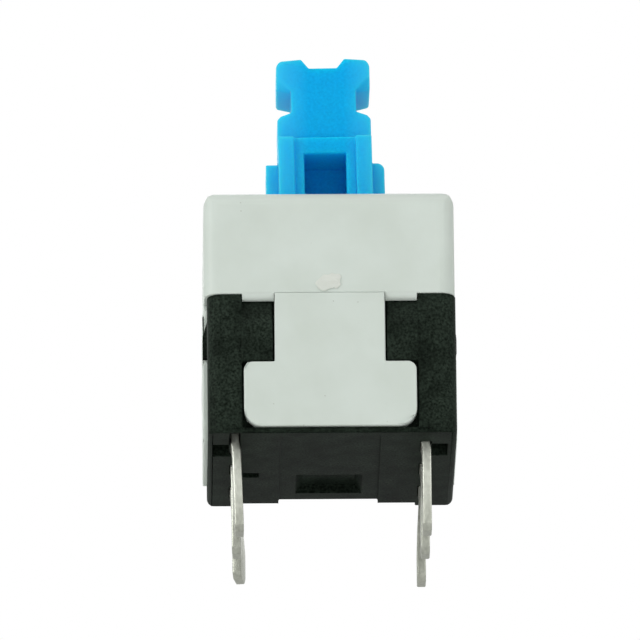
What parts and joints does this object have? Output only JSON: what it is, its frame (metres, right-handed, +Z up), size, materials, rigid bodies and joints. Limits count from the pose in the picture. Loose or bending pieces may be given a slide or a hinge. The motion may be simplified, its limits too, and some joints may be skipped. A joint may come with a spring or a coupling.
{
  "type": "latching push button switch",
  "caption": "Small through-hole latching push button switch: blue button in a white clipped cover over a black base with flat pins.",
  "frame": {"origin": "centre of the seating plane under the base", "axes": "+Z up along the button's travel, towards the button; -Y is the latch side; +X to the right seen from the latch side"},
  "size_m": [0.0086, 0.0086, 0.0175],
  "materials": {
    "black_plastic": "fine satin",
    "white_plastic": "satin",
    "blue_plastic": "satin",
    "spring_steel": "drawn wire",
    "bronze": "rolled strip",
    "tinned_brass": "matt tin plate"
  },
  "bodies": {
    "housing": {"base": "black_plastic", "cover": "white_plastic", "latch_leaf_spring": "bronze", "return_spring": "spring_steel", "terminal_left_front": "tinned_brass", "terminal_left_middle": "tinned_brass", "terminal_left_rear": "tinned_brass", "terminal_right_front": "tinned_brass", "terminal_right_middle": "tinned_brass", "terminal_right_rear": "tinned_brass"},
    "button": {"plunger": "blue_plastic", "moving_contact_left": "bronze", "moving_contact_right": "bronze"},
    "latch": {"latch_pin": "spring_steel"}
  },
  "joints": [
    {"name": "plunger_slide", "type": "slide", "parent": "housing", "child": "button", "axis": [0, 0, -1], "range_m": [0, 0.0022], "stiffness_N_per_m": 500, "springref_m": -0.0015, "deforming": ["return_spring"]},
    {"name": "latch_pin_swing", "type": "hinge", "parent": "housing", "child": "latch", "pos_m": [0, -0.0028, 0.00175], "axis": [0, -1, 0], "range_deg": [0, 5]}
  ],
  "couplings": [
    {"joint": "latch_pin_swing", "follows": "plunger_slide", "rad_per_m": 37.3}
  ]
}
